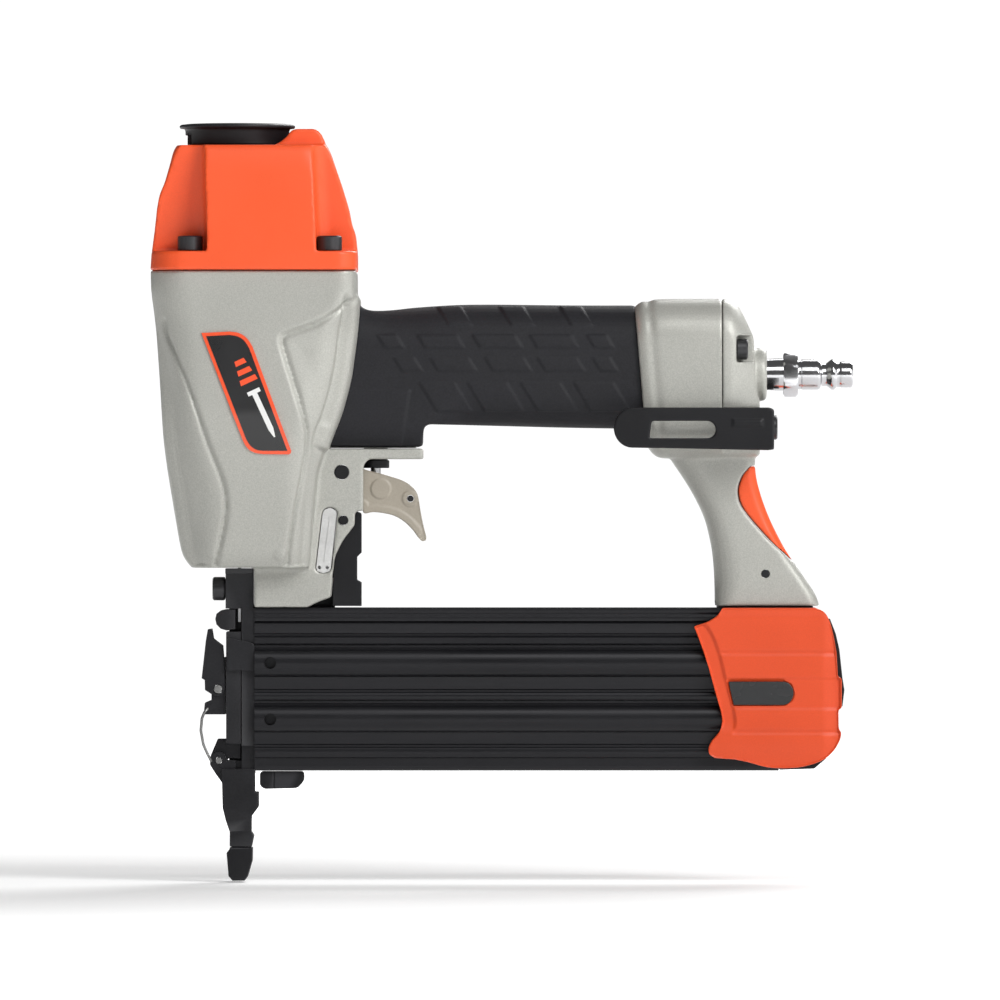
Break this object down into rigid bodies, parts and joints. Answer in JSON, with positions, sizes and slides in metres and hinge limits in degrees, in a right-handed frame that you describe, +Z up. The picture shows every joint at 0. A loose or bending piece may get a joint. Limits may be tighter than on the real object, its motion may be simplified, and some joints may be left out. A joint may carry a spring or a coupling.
{
  "type": "pneumatic nail gun",
  "caption": "Upright pneumatic brad nailer with orange cap, rubber grip, trigger, belt hook, sliding rear-loading magazine, contact nose and hinged jam door.",
  "frame": {"origin": "centre of the bounding box's footprint at the height of the nose tip", "axes": "+Z up with the tool standing nose down, +X from the driver head towards the air inlet, +Y across the tool"},
  "size_m": [0.2522, 0.071, 0.2725],
  "materials": {
    "cast_housing": "fine-grained silver paint on die-cast metal",
    "orange_plastic": "satin moulded plastic",
    "grip_rubber": "matt, raised pads",
    "black_plastic": "satin",
    "black_steel": "black oxide",
    "black_aluminium": "satin black anodised",
    "chrome_plate": "plated",
    "bright_steel": "ground",
    "trigger_plastic": "satin",
    "smoked_window": "smooth",
    "badge_plate": "glossy label",
    "bumper_rubber": "smooth"
  },
  "bodies": {
    "tool_body": {"body_casting": "cast_housing", "leg_insert": "orange_plastic", "leg_pin": "black_steel", "grip_sleeve": "grip_rubber", "top_cap": "orange_plastic", "cap_screw_1": "black_steel", "cap_screw_2": "black_steel", "cap_screw_3": "black_steel", "cap_screw_4": "black_steel", "deflector_screw": "black_steel", "cylinder_sleeve": "bright_steel", "bumper": "bumper_rubber", "head_valve_spring": "bright_steel", "end_cap": "cast_housing", "end_cap_screw_1": "black_steel", "end_cap_screw_2": "black_steel", "air_plug": "chrome_plate", "belt_hook_bolt": "black_steel", "badge_left": "badge_plate", "badge_right": "badge_plate", "trigger_pin": "black_steel", "trigger_valve_body": "black_plastic", "frame_pin": "black_steel", "depth_bracket": "black_plastic", "depth_wheel_pin": "bright_steel", "nose_guide": "black_steel", "nose_bolt_1": "black_steel", "nose_bolt_2": "black_steel", "latch_catch": "black_steel", "guide_side_plate_left": "black_steel", "guide_side_plate_right": "black_steel", "door_pin": "bright_steel", "magazine_rail": "black_aluminium", "magazine_front_block": "black_plastic"},
    "deflector": {"exhaust_deflector": "black_plastic"},
    "piston": {"piston": "black_steel", "driver_blade": "bright_steel"},
    "head_valve": {"head_valve": "bumper_rubber"},
    "trigger": {"trigger": "trigger_plastic", "trigger_lever_pin": "bright_steel"},
    "trigger_lever": {"trigger_lever": "bright_steel"},
    "valve_stem": {"valve_stem": "bright_steel"},
    "contact_arm": {"contact_foot": "black_steel", "no_mar_tip": "black_plastic", "contact_link": "black_steel", "contact_rod": "bright_steel"},
    "depth_wheel": {"depth_wheel": "black_steel"},
    "nose_door": {"nose_door": "black_steel", "latch_bracket": "black_steel", "latch_pin": "bright_steel", "latch_spring_wire": "bright_steel"},
    "latch_lever": {"latch_lever": "black_steel"},
    "magazine_cover": {"magazine_cover": "black_aluminium", "tail_cover": "orange_plastic", "tail_block": "black_plastic", "tail_window_left": "smoked_window", "tail_window_right": "smoked_window"},
    "pusher": {"pusher": "bright_steel"},
    "release_lever": {"release_lever": "black_plastic"},
    "belt_hook": {"belt_hook": "black_plastic"}
  },
  "joints": [
    {"name": "deflector_turn", "type": "hinge", "parent": "tool_body", "child": "deflector", "pos_m": [-0.0954, 0, 0.268], "axis": [0, 0, 1], "continuous": true},
    {"name": "piston_stroke", "type": "slide", "parent": "tool_body", "child": "piston", "axis": [0, 0, -1], "range_m": [0, 0.074]},
    {"name": "head_valve_lift", "type": "slide", "parent": "tool_body", "child": "head_valve", "axis": [0, 0, 1], "range_m": [0, 0.005], "stiffness_N_per_m": 2500, "springref_m": -0.002, "deforming": ["head_valve_spring"]},
    {"name": "trigger_pull", "type": "hinge", "parent": "tool_body", "child": "trigger", "pos_m": [-0.0577, 0, 0.1469], "axis": [0, -1, 0], "range_deg": [0, 9], "stiffness_Nm_per_rad": 0.6, "springref_deg": -6.88},
    {"name": "lever_rock", "type": "hinge", "parent": "trigger", "child": "trigger_lever", "pos_m": [-0.0331, 0, 0.1374], "axis": [0, 1, 0], "range_deg": [0, 8]},
    {"name": "stem_push", "type": "slide", "parent": "tool_body", "child": "valve_stem", "axis": [0, 0, 1], "range_m": [0, 0.00185]},
    {"name": "contact_lift", "type": "slide", "parent": "tool_body", "child": "contact_arm", "axis": [0, 0, 1], "range_m": [0, 0.0075], "stiffness_N_per_m": 900, "springref_m": -0.006},
    {"name": "depth_wheel_spin", "type": "hinge", "parent": "tool_body", "child": "depth_wheel", "pos_m": [-0.057, 0, 0.1124], "axis": [0, 0, 1], "continuous": true},
    {"name": "door_swing", "type": "hinge", "parent": "tool_body", "child": "nose_door", "pos_m": [-0.102, 0, 0.0432], "axis": [0, -1, 0], "range_deg": [0, 75]},
    {"name": "latch_flip", "type": "hinge", "parent": "nose_door", "child": "latch_lever", "pos_m": [-0.1022, 0, 0.0689], "axis": [0, -1, 0], "range_deg": [0, 50]},
    {"name": "magazine_slide", "type": "slide", "parent": "tool_body", "child": "magazine_cover", "axis": [1, 0, 0], "range_m": [0, 0.12]},
    {"name": "pusher_slide", "type": "slide", "parent": "tool_body", "child": "pusher", "axis": [1, 0, 0], "range_m": [0, 0.13], "stiffness_N_per_m": 40, "springref_m": -0.05},
    {"name": "release_press", "type": "hinge", "parent": "magazine_cover", "child": "release_lever", "pos_m": [0.113, 0, 0.0506], "axis": [0, 1, 0], "range_deg": [0, 7], "stiffness_Nm_per_rad": 0.4, "springref_deg": -8.59},
    {"name": "hook_turn", "type": "hinge", "parent": "tool_body", "child": "belt_hook", "pos_m": [0.095, 0, 0.163], "axis": [1, 0, 0], "range_deg": [-16, 16]}
  ],
  "couplings": [
    {"joint": "lever_rock", "follows": "contact_lift", "rad_per_m": 17.5},
    {"joint": "stem_push", "follows": "trigger_pull", "m_per_rad": 0.0115}
  ]
}
